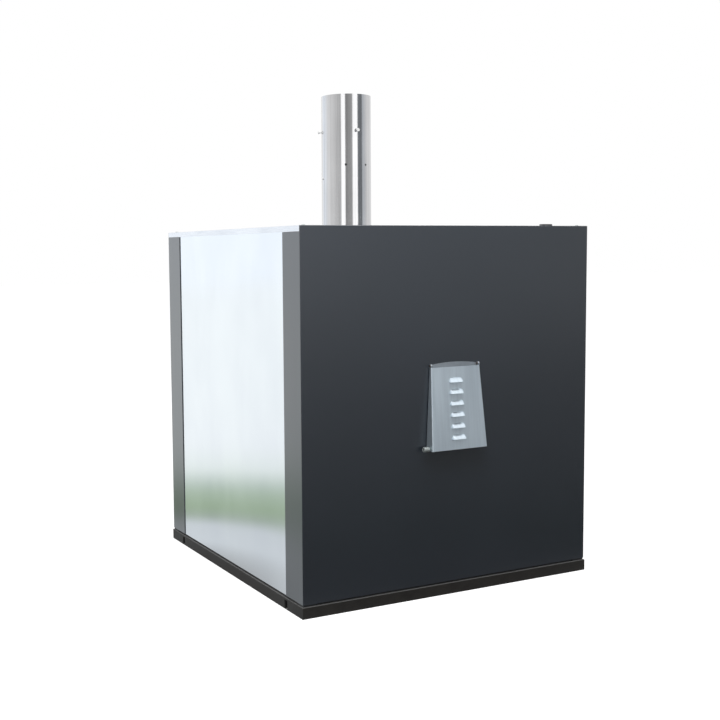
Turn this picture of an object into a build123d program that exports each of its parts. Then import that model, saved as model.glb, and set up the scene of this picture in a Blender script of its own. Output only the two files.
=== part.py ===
from build123d import *

import os
from math import cos, radians, sin, sqrt

# Masonry heater: a stack of refractory blocks inside a jacket of folded sheet
# steel, fired through a louvred hatch in the middle of its front, with a
# stainless flue pipe on top. The footprint's centre on the floor is the origin,
# the front faces -Y, the right-hand side is +X and up is +Z. Lengths are in
# millimetres and angles in degrees.

os.makedirs("parts", exist_ok=True)

# Overall size of the jacket, floor to lid
body_width = 900.0
body_depth = 900.0
body_height = 975.0

# Base rails, crossbars and base plate
base_height = 30.0
base_proud = 2.0
rail_wall = 4.0
rail_flange = 60.0
rail_corner = 2.0
notch_width = 16.0
notch_height = 24.0
notch_inset = 92.0
crossbar_width = 50.0
crossbar_wall = 3.0
crossbar_pitch = 200.0
plinth_gap = 5.0
plinth_setback = 8.0

# Corner posts, and the nuts and studs that hold the cassettes to them
post_leg = 38.0
post_wall = 3.0
post_tab = 3.0
stud_radius = 3.0
nut_width = 10.0
nut_thickness = 5.0
thread_spare = 1.0
stud_inset = 22.0
stud_heights = (150.0, 500.0, 850.0)

# Front and rear cassettes
cassette_sheet = 2.0
cassette_return = 95.0
cassette_corner = 1.8
cassette_drop = 1.0

# Side panels
side_sheet = 1.5
side_tuck = 5.0
side_rise = 10.0

# Lid, its screws and its catch
lid_sheet = 1.5
lid_skirt = 15.0
lid_gap = 0.5
lid_corner = 1.2
lid_screw_radius = 2.5
lid_screw_head_radius = 4.5
lid_screw_head = 2.4
lid_screw_socket_width = 3.4
lid_screw_socket_depth = 1.3
lid_screw_clearance = 0.3
catch_width = 32.0
catch_depth = 15.0
catch_height = 4.5
catch_from_corner = 138.0
catch_setback = 1.0
catch_corner = 1.5

# Insulation boards
board = 40.0
floor_board = 30.0

# Refractory blocks
foundation = 50.0
outer_wall = 60.0
inner_wall = 60.0
cap_thickness = 48.0
firebox_width = 300.0
hearth_top = 395.0
hearth_thickness = 50.0
upper_chamber = 115.5
roof_thickness = 50.0
throat_width = 130.0
throat_depth = 120.0
throat_from_front = 20.0
port_width = 130.0
port_height = 130.0
side_port_from_front = 100.0
front_support_depth = 48.0
rear_support_depth = 50.0
rear_support_height = 60.0
door_block_height = 310.0
fire_opening_width = 140.0
fire_arch_rise = 26.0

# Hatch flap: a shallow wedge hung by two rivets at its top corners
flap_top = 608.0
flap_bottom = 393.0
flap_top_width = 153.0
flap_bottom_width = 173.0
flap_top_depth = 10.0
flap_bottom_depth = 32.0
flap_sheet = 1.5
flap_fold = 2.5
flange_gap = 2.5
hinge_rise = 5.0
hinge_depth = 5.0
ear_radius = 4.5
rivet_radius = 2.5
rivet_head_radius = 3.4
rivet_head = 1.2
rivet_clearance = 0.05

# Louvres pressed in the flap
louvre_count = 6
louvre_drop = 34.5
louvre_pitch = 29.6
louvre_offset = -2.0
louvre_width = 43.0
louvre_height = 12.5
louvre_proud = 9.0
louvre_tilt_drop = 8.0
louvre_sheet = 1.2

# Heat shield behind the louvres
shield_width = 116.0
shield_top_inset = 20.0
shield_bottom_inset = 23.0
shield_sheet = 1.5
shield_spacing = 8.0
spacer_radius = 5.0
spacer_inset = 14.0

# Lift bolt through the flap's left flange
lift_rise = 5.0
lift_depth = 16.0
lift_bolt_radius = 3.0
lift_neck_radius = 4.5
lift_neck = 2.0
lift_sleeve_radius = 6.5
lift_sleeve_length = 13.0
lift_sleeve_clearance = 0.1
lift_head = 3.0
lift_head_round = 1.0
lift_socket_width = 4.0
lift_socket_depth = 1.8
lift_nut_width = 10.0
lift_nut = 5.0

# Hatch frame: the duct behind the flap, its hinge lugs and the arched hood above
duct_sheet = 2.0
duct_top_inset = 8.0
duct_nut_gap = 0.5
lug_gap = 0.5
mouth_gap = 0.3
hood_shoulder = 2.0
hood_arch_rise = 5.0
hood_sheet = 2.0
hood_side_gap = 0.4
duct_clearance = 0.5
retainer_border = 20.0
retainer_sheet = 2.0
retainer_clearance = 0.1
rope = 6.0
rope_width = 12.0

# Flue
flue_radius = 75.0
flue_sheet = 1.5
flue_from_centre = 111.0
flue_rise = 400.0
socket_clearance = 0.3
socket_sheet = 2.0
socket_flange_radius = 95.0
socket_flange = 3.0
socket_height = 30.0
flue_rope_width = 6.0
flue_rope_height = 24.0
lid_hole_clearance = 3.0
collar_radius = 100.0
collar_sheet = 2.0
collar_neck = 9.0
flue_screw_drop = 106.0
flue_screw_angles = (160.0, 265.4, 25.0)
flue_screw_radius = 2.5
flue_screw_length = 10.0
flue_screw_head_radius = 5.0
flue_screw_head = 3.5
flue_hole_radius = 3.2
flue_hole_drop = 207.0
flue_hole_angles = (239.4, 291.0)
flue_rivet_drop = 245.0
flue_rivet_angle = 170.4
flue_rivet_radius = 4.0
flue_rivet_proud = 2.2

# Clean-out at the foot of the rear uptake
cleanout_width = 120.0
cleanout_centre = 190.0
sleeve_sheet = 3.0
sleeve_clearance = 0.5
cleanout_border = 22.0
cleanout_flange = 3.0
cleanout_rope = 4.0
cleanout_rope_width = 10.0
cleanout_door_overlap = 15.0
cleanout_door = 4.0
cleanout_door_gap = 0.3
cleanout_hinge_offset = 8.0
knuckle_radius = 6.0
knuckle_length = 20.0
knuckle_gap = 0.4
hinge_pin_radius = 3.0
hinge_pin_clearance = 0.05
hinge_pin_head_radius = 4.5
hinge_pin_head = 2.0
knob_inset = 18.0
knob_radius = 12.0
knob_stem_radius = 5.0
knob_length = 30.0

# Planes and corners that follow from the sizes above
half_w = body_width / 2
half_d = body_depth / 2
jacket_bottom = base_height + plinth_gap
lid_underside = body_height - lid_sheet
skirt_bottom = body_height - lid_skirt
return_top = skirt_bottom - lid_gap
front_face = -half_d
inside_cassette = half_d - cassette_sheet
inside_return = half_w - cassette_sheet
inside_side = inside_return - side_sheet
core_x = inside_side - board
core_y = inside_cassette - board
foundation_bottom = jacket_bottom + floor_board
core_bottom = foundation_bottom + foundation
cap_top = lid_underside - board
cap_bottom = cap_top - cap_thickness
chamber_x = core_x - outer_wall
chamber_y = core_y - outer_wall
firebox_half = firebox_width / 2
hearth_bottom = hearth_top - hearth_thickness
roof_top = cap_bottom - upper_chamber
roof_bottom = roof_top - roof_thickness
uptake_front = flue_from_centre - flue_radius
partition_front = uptake_front - inner_wall
hinge_y = front_face - hinge_depth
hinge_height = flap_top + hinge_rise
duct_top = flap_top - duct_top_inset
lift_height = flap_bottom + lift_rise
duct_bottom = lift_height + lift_nut_width / sqrt(3) + duct_nut_gap
flue_top = body_height + flue_rise
flue_bore = flue_radius - flue_sheet


def middle(span):
    """The middle of a span given by its two ends."""
    return (span[0] + span[1]) / 2


def block(x_span, y_span, z_span):
    """A rectangular block between three spans."""
    with BuildPart() as brick:
        with BuildSketch(Plane.XY.offset(z_span[0])):
            with Locations((middle(x_span), middle(y_span))):
                Rectangle(x_span[1] - x_span[0], y_span[1] - y_span[0])
        extrude(amount=z_span[1] - z_span[0])
    return brick.part


def ring(outer_radius, inner_radius, z_span, centre=(0.0, 0.0)):
    """A round ring about an upright axis."""
    with BuildPart() as washer:
        with BuildSketch(Plane.XY.offset(z_span[0])):
            with Locations(centre):
                Circle(outer_radius)
                Circle(inner_radius, mode=Mode.SUBTRACT)
        extrude(amount=z_span[1] - z_span[0])
    return washer.part


# Base rails: mitred steel angles, the side ones notched at both ends
rail_half_w = half_w + base_proud
rail_half_d = half_d + base_proud
rails = (
    ("base_rail_front", 0.0, rail_half_w, rail_half_d, False),
    ("base_rail_right", 90.0, rail_half_d, rail_half_w, True),
    ("base_rail_rear", 180.0, rail_half_w, rail_half_d, False),
    ("base_rail_left", 270.0, rail_half_d, rail_half_w, True),
)
for name, turn, run, reach, notched in rails:
    plan = Plane.XY.rotated((0, 0, turn))
    with BuildPart() as base_rail:
        with BuildSketch(plan):
            Polygon(
                (-run, -reach),
                (run, -reach),
                (run - rail_flange, rail_flange - reach),
                (rail_flange - run, rail_flange - reach),
                align=None,
            )
        extrude(amount=base_height)
        with BuildSketch(plan):
            Polygon(
                (rail_wall - run, rail_wall - reach),
                (run - rail_wall, rail_wall - reach),
                (run - rail_flange, rail_flange - reach),
                (rail_flange - run, rail_flange - reach),
                align=None,
            )
        extrude(amount=base_height - rail_wall, mode=Mode.SUBTRACT)
        top_edges = base_rail.edges().group_by(Axis.Z)[-1]
        fillet(top_edges.sort_by(SortBy.LENGTH)[-1], radius=rail_corner)
        if notched:
            with BuildSketch(plan):
                with Locations(
                    (notch_inset + base_proud - run, rail_wall / 2 - reach),
                    (run - notch_inset - base_proud, rail_wall / 2 - reach),
                ):
                    Rectangle(notch_width, rail_wall)
            extrude(amount=notch_height, mode=Mode.SUBTRACT)
    base_rail.part.label = name
    export_step(base_rail.part, f"parts/{name}.step")

# Crossbars: three box sections under the base plate, the middle one at the origin
crossbar_half = rail_half_w - rail_flange
with BuildPart() as base_crossbars:
    with BuildSketch(Plane.YZ.offset(-crossbar_half)):
        with Locations(*[(step * crossbar_pitch, base_height / 2) for step in (-1, 0, 1)]):
            Rectangle(crossbar_width, base_height)
            Rectangle(
                crossbar_width - 2 * crossbar_wall,
                base_height - 2 * crossbar_wall,
                mode=Mode.SUBTRACT,
            )
    extrude(amount=2 * crossbar_half)
base_crossbars.part.label = "base_crossbars"
export_step(base_crossbars.part, "parts/base_crossbars.step")

# Base plate, set back so that a shadow gap shows under the jacket
with BuildPart() as base_plate:
    add(
        block(
            (plinth_setback - half_w, half_w - plinth_setback),
            (plinth_setback - half_d, half_d - plinth_setback),
            (base_height, jacket_bottom),
        )
    )
base_plate.part.label = "base_plate"
export_step(base_plate.part, "parts/base_plate.step")

# Corner posts: steel angles with a tab on top that takes a lid screw
screw_x = inside_return - post_leg / 2
screw_y = inside_cassette - post_leg / 2
corners = (
    ("front_left", -1, -1),
    ("front_right", 1, -1),
    ("rear_left", -1, 1),
    ("rear_right", 1, 1),
)
for name, side_x, side_y in corners:
    post_x = side_x * inside_return
    post_y = side_y * inside_cassette
    leg_x = post_x - side_x * post_leg
    leg_y = post_y - side_y * post_leg
    with BuildPart() as corner_post:
        with BuildSketch(Plane.XY.offset(base_height)):
            Polygon(
                (post_x, post_y),
                (leg_x, post_y),
                (leg_x, post_y - side_y * post_wall),
                (post_x - side_x * post_wall, post_y - side_y * post_wall),
                (post_x - side_x * post_wall, leg_y),
                (post_x, leg_y),
                align=None,
            )
        extrude(amount=lid_underside - base_height)
        with BuildSketch(Plane.XY.offset(lid_underside)):
            with Locations((side_x * screw_x, side_y * screw_y)):
                Rectangle(post_leg, post_leg)
        extrude(amount=-post_tab)
        with BuildSketch(Plane.XY.offset(lid_underside)):
            with Locations((side_x * screw_x, side_y * screw_y)):
                Circle(lid_screw_radius + lid_screw_clearance)
        extrude(amount=-post_tab, mode=Mode.SUBTRACT)
        with BuildSketch(Plane.YZ.offset(post_x)):
            with Locations(*[(side_y * (inside_cassette - stud_inset), z) for z in stud_heights]):
                Circle(stud_radius + lid_screw_clearance)
        extrude(amount=-side_x * post_wall, mode=Mode.SUBTRACT)
    corner_post.part.label = f"post_{name}"
    export_step(corner_post.part, f"parts/post_{name}.step")

# Studs welded to the cassettes' returns, with their nuts inside the posts
with BuildPart() as cassette_nuts:
    for side_x in (-1, 1):
        with BuildSketch(Plane.YZ.offset(side_x * inside_return)):
            for side_y in (-1, 1):
                with Locations(
                    *[(side_y * (inside_cassette - stud_inset), z) for z in stud_heights]
                ):
                    Circle(stud_radius)
        extrude(amount=-side_x * (post_wall + nut_thickness + thread_spare))
        with BuildSketch(Plane.YZ.offset(side_x * (inside_return - post_wall))):
            for side_y in (-1, 1):
                with Locations(
                    *[(side_y * (inside_cassette - stud_inset), z) for z in stud_heights]
                ):
                    RegularPolygon(nut_width / 2, 6, major_radius=False)
        extrude(amount=-side_x * nut_thickness)
cassette_nuts.part.label = "cassette_nuts"
export_step(cassette_nuts.part, "parts/cassette_nuts.step")


def cassette(turn):
    """A folded cassette that wraps two corners, facing -Y before it is turned."""
    plan = Plane.XY.rotated((0, 0, turn))
    return_middle = cassette_return / 2 - half_d
    with BuildPart() as shell:
        with BuildSketch(plan.offset(jacket_bottom)):
            with Locations((0, return_middle)):
                Rectangle(body_width, cassette_return)
            with Locations((0, return_middle + cassette_sheet)):
                Rectangle(2 * inside_return, cassette_return, mode=Mode.SUBTRACT)
        extrude(amount=return_top - jacket_bottom)
        with BuildSketch(plan.offset(jacket_bottom)):
            with Locations((0, cassette_sheet / 2 - half_d)):
                Rectangle(body_width, cassette_sheet)
        extrude(amount=body_height - cassette_drop - jacket_bottom)
        outermost = shell.edges().filter_by(Axis.Z).sort_by(Axis.Y)
        if turn:
            outermost = outermost[::-1]
        fillet(outermost[:2], radius=cassette_corner)
    return shell.part


# Front cassette, with the opening for the hatch frame
duct_half = flap_top_width / 2 - (hinge_height - flap_top) * (
    flap_bottom_width - flap_top_width
) / (2 * (flap_top - flap_bottom)) - flap_sheet - lug_gap
duct_inside = duct_half - duct_sheet
opening_half = duct_half + duct_clearance
duct_middle = (duct_top + duct_bottom) / 2
with BuildPart() as front_panel:
    add(cassette(0.0))
    with BuildSketch(Plane.XZ.offset(half_d)):
        with Locations((0, duct_middle)):
            Rectangle(2 * opening_half, duct_top - duct_bottom + 2 * duct_clearance)
    extrude(amount=-cassette_sheet, mode=Mode.SUBTRACT)
front_panel.part.label = "front_panel"
export_step(front_panel.part, "parts/front_panel.step")

# Rear cassette, with the opening for the clean-out sleeve
sleeve_half = cleanout_width / 2 + sleeve_sheet
with BuildPart() as rear_panel:
    add(cassette(180.0))
    with BuildSketch(Plane.XZ.offset(-half_d)):
        with Locations((0, cleanout_centre)):
            Rectangle(2 * (sleeve_half + sleeve_clearance), 2 * (sleeve_half + sleeve_clearance))
    extrude(amount=cassette_sheet, mode=Mode.SUBTRACT)
rear_panel.part.label = "rear_panel"
export_step(rear_panel.part, "parts/rear_panel.step")

# Side panels, tucked behind the cassettes' returns and the lid's skirt
side_half = half_d - cassette_return + side_tuck
for name, side_x in (("left_panel", -1), ("right_panel", 1)):
    faces = sorted((side_x * inside_return, side_x * inside_side))
    with BuildPart() as side_panel:
        add(block(faces, (-side_half, side_half), (jacket_bottom, return_top + side_rise)))
    side_panel.part.label = name
    export_step(side_panel.part, f"parts/{name}.step")

# Lid: a stainless tray between the cassettes' faces, holed for flue and screws
lid_half_d = inside_cassette - lid_gap
with BuildPart() as lid:
    with BuildSketch(Plane.XY.offset(skirt_bottom)):
        Rectangle(body_width, 2 * lid_half_d)
    extrude(amount=lid_skirt)
    fillet(lid.edges().filter_by(Axis.Y).group_by(Axis.Z)[-1], radius=lid_corner)
    with BuildSketch(Plane.XY.offset(skirt_bottom)):
        Rectangle(body_width - 2 * lid_sheet, 2 * lid_half_d)
    extrude(amount=lid_skirt - lid_sheet, mode=Mode.SUBTRACT)
    with BuildSketch(Plane.XY.offset(lid_underside)):
        with Locations((0, flue_from_centre)):
            Circle(flue_radius + lid_hole_clearance)
        with GridLocations(2 * screw_x, 2 * screw_y, 2, 2):
            Circle(lid_screw_radius + lid_screw_clearance)
    extrude(amount=lid_sheet, mode=Mode.SUBTRACT)
lid.part.label = "lid"
export_step(lid.part, "parts/lid.step")

# Lid screws: socket heads on the lid, shanks through the posts' tabs
with BuildPart() as lid_screws:
    with BuildSketch(Plane.XY.offset(body_height)):
        with GridLocations(2 * screw_x, 2 * screw_y, 2, 2):
            Circle(lid_screw_head_radius)
    extrude(amount=lid_screw_head)
    fillet(lid_screws.edges().group_by(Axis.Z)[-1], radius=lid_screw_head / 2)
    with BuildSketch(Plane.XY.offset(body_height + lid_screw_head)):
        with GridLocations(2 * screw_x, 2 * screw_y, 2, 2):
            RegularPolygon(lid_screw_socket_width / 2, 6, major_radius=False)
    extrude(amount=-lid_screw_socket_depth, mode=Mode.SUBTRACT)
    with BuildSketch(Plane.XY.offset(body_height)):
        with GridLocations(2 * screw_x, 2 * screw_y, 2, 2):
            Circle(lid_screw_radius)
    extrude(amount=-lid_sheet - 2 * post_tab)
lid_screws.part.label = "lid_screws"
export_step(lid_screws.part, "parts/lid_screws.step")

# Lid catch: the dark tab on the lid, just behind the front cassette's edge
with BuildPart() as lid_catch:
    with BuildSketch(Plane.XY.offset(body_height)):
        with Locations((half_w - catch_from_corner, catch_setback + catch_depth / 2 - lid_half_d)):
            Rectangle(catch_width, catch_depth)
    extrude(amount=catch_height)
    fillet(lid_catch.edges().group_by(Axis.Z)[-1], radius=catch_corner)
lid_catch.part.label = "lid_catch"
export_step(lid_catch.part, "parts/lid_catch.step")

# Insulation boards that line the jacket
rope_half = duct_inside + rope_width
retainer_half = duct_half + retainer_border
retainer_bottom = duct_bottom - retainer_border
retainer_top = duct_top + retainer_border
with BuildPart() as insulation_front:
    add(
        block(
            (-core_x, core_x),
            (-inside_cassette, -core_y),
            (jacket_bottom, lid_underside),
        )
    )
    with BuildSketch(Plane.XZ.offset(core_y)):
        with Locations((0, duct_middle)):
            Rectangle(
                2 * (rope_half + duct_clearance),
                duct_top - duct_bottom + 2 * (rope_width + duct_clearance),
            )
    extrude(amount=board, mode=Mode.SUBTRACT)
    with BuildSketch(Plane.XZ.offset(inside_cassette)):
        with Locations((0, duct_middle)):
            Rectangle(
                2 * (retainer_half + duct_clearance),
                retainer_top - retainer_bottom + 2 * duct_clearance,
            )
    extrude(amount=-retainer_sheet - duct_clearance, mode=Mode.SUBTRACT)
insulation_front.part.label = "insulation_front"
export_step(insulation_front.part, "parts/insulation_front.step")

with BuildPart() as insulation_rear:
    add(
        block(
            (-core_x, core_x),
            (core_y, inside_cassette),
            (jacket_bottom, lid_underside),
        )
    )
    with BuildSketch(Plane.XZ.offset(-core_y)):
        with Locations((0, cleanout_centre)):
            Rectangle(2 * (sleeve_half + sleeve_clearance), 2 * (sleeve_half + sleeve_clearance))
    extrude(amount=-board, mode=Mode.SUBTRACT)
insulation_rear.part.label = "insulation_rear"
export_step(insulation_rear.part, "parts/insulation_rear.step")

for name, side_x in (("insulation_left", -1), ("insulation_right", 1)):
    faces = sorted((side_x * inside_side, side_x * core_x))
    with BuildPart() as side_board:
        add(block(faces, (-core_y, core_y), (jacket_bottom, lid_underside)))
    side_board.part.label = name
    export_step(side_board.part, f"parts/{name}.step")

with BuildPart() as insulation_bottom:
    add(block((-core_x, core_x), (-core_y, core_y), (jacket_bottom, foundation_bottom)))
insulation_bottom.part.label = "insulation_bottom"
export_step(insulation_bottom.part, "parts/insulation_bottom.step")

with BuildPart() as insulation_top:
    add(block((-core_x, core_x), (-core_y, core_y), (cap_top, lid_underside)))
    with BuildSketch(Plane.XY.offset(cap_top)):
        with Locations((0, flue_from_centre)):
            Circle(socket_flange_radius + sleeve_clearance)
    extrude(amount=board, mode=Mode.SUBTRACT)
insulation_top.part.label = "insulation_top"
export_step(insulation_top.part, "parts/insulation_top.step")

# Foundation slab under all the blocks
with BuildPart() as foundation_slab:
    add(block((-core_x, core_x), (-core_y, core_y), (foundation_bottom, core_bottom)))
foundation_slab.part.label = "foundation_slab"
export_step(foundation_slab.part, "parts/foundation_slab.step")

# Front wall in three courses, with the arched fire opening in the middle one
door_block_bottom = hearth_bottom
door_block_top = door_block_bottom + door_block_height
front_span = (-core_y, -chamber_y)
with BuildPart() as front_wall_lower:
    add(block((-core_x, core_x), front_span, (core_bottom, door_block_bottom)))
front_wall_lower.part.label = "front_wall_lower"
export_step(front_wall_lower.part, "parts/front_wall_lower.step")

fire_half = fire_opening_width / 2
fire_sill = duct_bottom + duct_sheet
fire_crown = duct_top - duct_sheet
fire_spring = fire_crown - fire_arch_rise
with BuildPart() as door_block:
    add(block((-core_x, core_x), front_span, (door_block_bottom, door_block_top)))
    with BuildSketch(Plane.XZ.offset(core_y)):
        with BuildLine():
            Line((fire_half, fire_spring), (fire_half, fire_sill))
            Line((fire_half, fire_sill), (-fire_half, fire_sill))
            Line((-fire_half, fire_sill), (-fire_half, fire_spring))
            ThreePointArc((-fire_half, fire_spring), (0, fire_crown), (fire_half, fire_spring))
        make_face()
    extrude(amount=-outer_wall, mode=Mode.SUBTRACT)
door_block.part.label = "door_block"
export_step(door_block.part, "parts/door_block.step")

with BuildPart() as front_wall_upper:
    add(block((-core_x, core_x), front_span, (door_block_top, cap_bottom)))
front_wall_upper.part.label = "front_wall_upper"
export_step(front_wall_upper.part, "parts/front_wall_upper.step")

# Side and rear outer walls
for name, side_x in (("outer_wall_left", -1), ("outer_wall_right", 1)):
    faces = sorted((side_x * core_x, side_x * chamber_x))
    with BuildPart() as outer_side:
        add(block(faces, (-chamber_y, chamber_y), (core_bottom, cap_bottom)))
    outer_side.part.label = name
    export_step(outer_side.part, f"parts/{name}.step")

with BuildPart() as outer_wall_rear:
    add(block((-core_x, core_x), (chamber_y, core_y), (core_bottom, cap_bottom)))
    with BuildSketch(Plane.XZ.offset(-core_y)):
        with Locations((0, cleanout_centre)):
            Rectangle(2 * (sleeve_half + sleeve_clearance), 2 * (sleeve_half + sleeve_clearance))
    extrude(amount=outer_wall, mode=Mode.SUBTRACT)
outer_wall_rear.part.label = "outer_wall_rear"
export_step(outer_wall_rear.part, "parts/outer_wall_rear.step")

# Firebox side walls, each with a low port for the flue gas
port_middle_y = side_port_from_front + port_width / 2 - chamber_y
for name, side_x in (("firebox_wall_left", -1), ("firebox_wall_right", 1)):
    faces = sorted((side_x * firebox_half, side_x * (firebox_half + inner_wall)))
    with BuildPart() as firebox_wall:
        add(block(faces, (-chamber_y, partition_front), (core_bottom, roof_bottom)))
        with BuildSketch(Plane.YZ.offset(faces[0])):
            with Locations((port_middle_y, core_bottom + port_height / 2)):
                Rectangle(port_width, port_height)
        extrude(amount=inner_wall, mode=Mode.SUBTRACT)
    firebox_wall.part.label = name
    export_step(firebox_wall.part, f"parts/{name}.step")

# Partition between the firebox side and the rear uptake, with a low port
with BuildPart() as partition_wall:
    add(block((-chamber_x, chamber_x), (partition_front, uptake_front), (core_bottom, cap_bottom)))
    with BuildSketch(Plane.XZ.offset(-uptake_front)):
        with Locations((0, core_bottom + port_height / 2)):
            Rectangle(port_width, port_height)
    extrude(amount=inner_wall, mode=Mode.SUBTRACT)
partition_wall.part.label = "partition_wall"
export_step(partition_wall.part, "parts/partition_wall.step")

# Hearth slab on its two supports
with BuildPart() as hearth_support_front:
    add(
        block(
            (-firebox_half, firebox_half),
            (-chamber_y, front_support_depth - chamber_y),
            (core_bottom, hearth_bottom),
        )
    )
hearth_support_front.part.label = "hearth_support_front"
export_step(hearth_support_front.part, "parts/hearth_support_front.step")

with BuildPart() as hearth_support_rear:
    add(
        block(
            (-firebox_half, firebox_half),
            (partition_front - rear_support_depth, partition_front),
            (hearth_bottom - rear_support_height, hearth_bottom),
        )
    )
hearth_support_rear.part.label = "hearth_support_rear"
export_step(hearth_support_rear.part, "parts/hearth_support_rear.step")

with BuildPart() as hearth_slab:
    add(
        block(
            (-firebox_half, firebox_half),
            (-chamber_y, partition_front),
            (hearth_bottom, hearth_top),
        )
    )
hearth_slab.part.label = "hearth_slab"
export_step(hearth_slab.part, "parts/hearth_slab.step")

# Firebox roof, with the throat that lets the gas into the upper chamber
roof_half = firebox_half + inner_wall
throat_middle = throat_from_front + throat_depth / 2 - chamber_y
with BuildPart() as firebox_roof:
    add(block((-roof_half, roof_half), (-chamber_y, partition_front), (roof_bottom, roof_top)))
    with BuildSketch(Plane.XY.offset(roof_bottom)):
        with Locations((0, throat_middle)):
            Rectangle(throat_width, throat_depth)
    extrude(amount=roof_thickness, mode=Mode.SUBTRACT)
firebox_roof.part.label = "firebox_roof"
export_step(firebox_roof.part, "parts/firebox_roof.step")

# Cap slab, holed under the flue and a little narrower than it
with BuildPart() as cap_slab:
    add(block((-core_x, core_x), (-core_y, core_y), (cap_bottom, cap_top)))
    with BuildSketch(Plane.XY.offset(cap_bottom)):
        with Locations((0, flue_from_centre)):
            Circle(flue_bore - flue_sheet)
    extrude(amount=cap_thickness, mode=Mode.SUBTRACT)
cap_slab.part.label = "cap_slab"
export_step(cap_slab.part, "parts/cap_slab.step")

# Flue socket: a flanged ring on the cap slab that the pipe stands in
flue_centre = (0.0, flue_from_centre)
rope_bore = flue_radius + socket_clearance
socket_bore = rope_bore + flue_rope_width
flange_top = cap_top + socket_flange
with BuildPart() as flue_socket:
    add(ring(socket_flange_radius, rope_bore, (cap_top, flange_top), flue_centre))
    add(ring(socket_bore + socket_sheet, socket_bore, (cap_top, cap_top + socket_height), flue_centre))
flue_socket.part.label = "flue_socket"
export_step(flue_socket.part, "parts/flue_socket.step")

# Rope seal between the flue pipe and its socket
with BuildPart() as flue_rope:
    rope_span = (flange_top, flange_top + flue_rope_height)
    add(ring(socket_bore, rope_bore, rope_span, flue_centre))
flue_rope.part.label = "flue_rope"
export_step(flue_rope.part, "parts/flue_rope.step")

# Flue collar: a flat rosette on the lid with a short neck round the pipe
collar_top = body_height + collar_sheet + collar_neck
with BuildPart() as flue_collar:
    add(ring(collar_radius, rope_bore, (body_height, body_height + collar_sheet), flue_centre))
    add(ring(rope_bore + collar_sheet, rope_bore, (body_height, collar_top), flue_centre))
flue_collar.part.label = "flue_collar"
export_step(flue_collar.part, "parts/flue_collar.step")


def around_flue(angle, height):
    """A plane on the flue's axis that faces outwards at an angle from +X."""
    outward = (cos(radians(angle)), sin(radians(angle)), 0)
    return Plane(origin=(0, flue_from_centre, height), x_dir=(0, 0, 1), z_dir=outward)


# Flue pipe, drilled for its set screws, its rivet and two spare holes
with BuildPart() as flue_pipe:
    add(ring(flue_radius, flue_bore, (cap_top, flue_top), flue_centre))
    for angle in flue_screw_angles:
        with BuildSketch(around_flue(angle, flue_top - flue_screw_drop)):
            Circle(flue_screw_radius + rivet_clearance)
        extrude(amount=flue_radius + flue_sheet, mode=Mode.SUBTRACT)
    for angle in flue_hole_angles:
        with BuildSketch(around_flue(angle, flue_top - flue_hole_drop)):
            Circle(flue_hole_radius)
        extrude(amount=flue_radius + flue_sheet, mode=Mode.SUBTRACT)
    with BuildSketch(around_flue(flue_rivet_angle, flue_top - flue_rivet_drop)):
        Circle(flue_rivet_radius / 2 + rivet_clearance)
    extrude(amount=flue_radius + flue_sheet, mode=Mode.SUBTRACT)
flue_pipe.part.label = "flue_pipe"
export_step(flue_pipe.part, "parts/flue_pipe.step")

# Set screws near the flue's rim
with BuildPart() as flue_screws:
    for angle in flue_screw_angles:
        seat = around_flue(angle, flue_top - flue_screw_drop).offset(flue_bore)
        with BuildSketch(seat):
            Circle(flue_screw_radius)
        extrude(amount=flue_sheet + flue_screw_length)
        with BuildSketch(seat.offset(flue_sheet + flue_screw_length - flue_screw_head)):
            Circle(flue_screw_head_radius)
        extrude(amount=flue_screw_head)
flue_screws.part.label = "flue_screws"
export_step(flue_screws.part, "parts/flue_screws.step")

# Rivet low on the left of the flue
with BuildPart() as flue_rivet:
    seat = around_flue(flue_rivet_angle, flue_top - flue_rivet_drop)
    with BuildSketch(seat.offset(flue_bore)):
        Circle(flue_rivet_radius / 2)
    extrude(amount=flue_sheet + flue_rivet_proud)
    with BuildSketch(seat.offset(flue_radius)):
        Circle(flue_rivet_radius)
    extrude(amount=flue_rivet_proud)
flue_rivet.part.label = "flue_rivet"
export_step(flue_rivet.part, "parts/flue_rivet.step")

# Hatch: how far the flap's front stands off the cassette, and its slope
flap_height = flap_top - flap_bottom
flap_lean = (flap_bottom_depth - flap_top_depth) / flap_height
flap_splay = (flap_bottom_width - flap_top_width) / (2 * flap_height)
flap_slant = sqrt(1 + flap_lean**2)


def flap_front(height):
    """The y of the flap's front surface at a height."""
    return front_face - flap_top_depth - (flap_top - height) * flap_lean


def flap_half(height):
    """Half the flap's outside width at a height."""
    return flap_top_width / 2 + (flap_top - height) * flap_splay


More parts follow.
